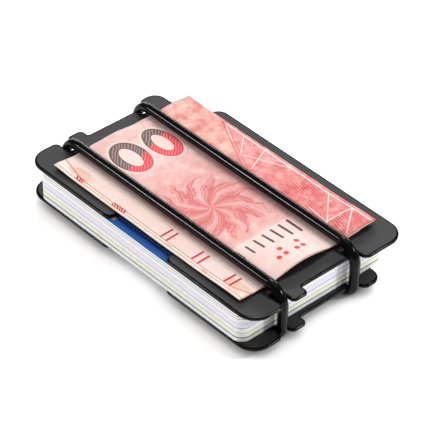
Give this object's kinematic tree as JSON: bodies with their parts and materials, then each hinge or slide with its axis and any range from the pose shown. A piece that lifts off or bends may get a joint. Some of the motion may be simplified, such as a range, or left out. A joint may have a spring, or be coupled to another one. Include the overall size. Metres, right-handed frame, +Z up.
{
  "type": "minimalist wallet",
  "caption": "Slim card wallet: flat notched plates pulled together by round rubber cords, with a stack of cards between the plates and a folded note under the cords.",
  "frame": {"origin": "centre of the wallet's footprint, on the surface that the two cords rest on", "axes": "+X along the wallet's length towards the upper plate's wide end, +Y across the width from the straight long edges towards the stepped edges, +Z up through the stack towards the note"},
  "size_m": [0.0954, 0.0578, 0.0186],
  "materials": {
    "plate": "satin",
    "cord": "satin",
    "note": "matte",
    "card": "satin",
    "top_card": "gloss"
  },
  "bodies": {
    "lower_half": {"lower_plate": "plate", "left_cord": "cord", "right_cord": "cord"},
    "upper_half": {"upper_plate": "plate"},
    "note": {"banknote": "note"},
    "card_01_body": {"card_01": "card"},
    "card_02_body": {"card_02": "card"},
    "card_03_body": {"card_03": "card"},
    "card_04_body": {"card_04": "card"},
    "card_05_body": {"card_05": "card"},
    "card_06_body": {"card_06": "card"},
    "card_07_body": {"card_07": "card"},
    "card_08_body": {"card_08": "card"},
    "card_09_body": {"card_09": "card"},
    "card_10_body": {"card_10": "card"},
    "card_11_body": {"card_11": "card"},
    "card_12_body": {"card_12": "top_card"}
  },
  "joints": [
    {"name": "spread", "type": "slide", "parent": "lower_half", "child": "upper_half", "axis": [0, 0, 1], "range_m": [0, 0.006], "stiffness_N_per_m": 600, "springref_m": -0.006, "deforming": ["left_cord", "right_cord"]},
    {"name": "note_slide", "type": "slide", "parent": "upper_half", "child": "note", "axis": [0, 1, 0], "range_m": [-0.051, 0.051]},
    {"name": "card_01_slide", "type": "slide", "parent": "lower_half", "child": "card_01_body", "axis": [0, 1, 0], "range_m": [-0.054, 0.054]},
    {"name": "card_02_slide", "type": "slide", "parent": "lower_half", "child": "card_02_body", "axis": [0, 1, 0], "range_m": [-0.054, 0.054]},
    {"name": "card_03_slide", "type": "slide", "parent": "lower_half", "child": "card_03_body", "axis": [0, 1, 0], "range_m": [-0.054, 0.054]},
    {"name": "card_04_slide", "type": "slide", "parent": "lower_half", "child": "card_04_body", "axis": [0, 1, 0], "range_m": [-0.054, 0.054]},
    {"name": "card_05_slide", "type": "slide", "parent": "lower_half", "child": "card_05_body", "axis": [0, 1, 0], "range_m": [-0.054, 0.054]},
    {"name": "card_06_slide", "type": "slide", "parent": "lower_half", "child": "card_06_body", "axis": [0, 1, 0], "range_m": [-0.054, 0.054]},
    {"name": "card_07_slide", "type": "slide", "parent": "lower_half", "child": "card_07_body", "axis": [0, 1, 0], "range_m": [-0.054, 0.054]},
    {"name": "card_08_slide", "type": "slide", "parent": "lower_half", "child": "card_08_body", "axis": [0, 1, 0], "range_m": [-0.054, 0.054]},
    {"name": "card_09_slide", "type": "slide", "parent": "lower_half", "child": "card_09_body", "axis": [0, 1, 0], "range_m": [-0.054, 0.054]},
    {"name": "card_10_slide", "type": "slide", "parent": "lower_half", "child": "card_10_body", "axis": [0, 1, 0], "range_m": [-0.054, 0.054]},
    {"name": "card_11_slide", "type": "slide", "parent": "lower_half", "child": "card_11_body", "axis": [0, 1, 0], "range_m": [-0.054, 0.054]},
    {"name": "card_12_slide", "type": "slide", "parent": "lower_half", "child": "card_12_body", "axis": [0, 1, 0], "range_m": [-0.054, 0.054]}
  ]
}
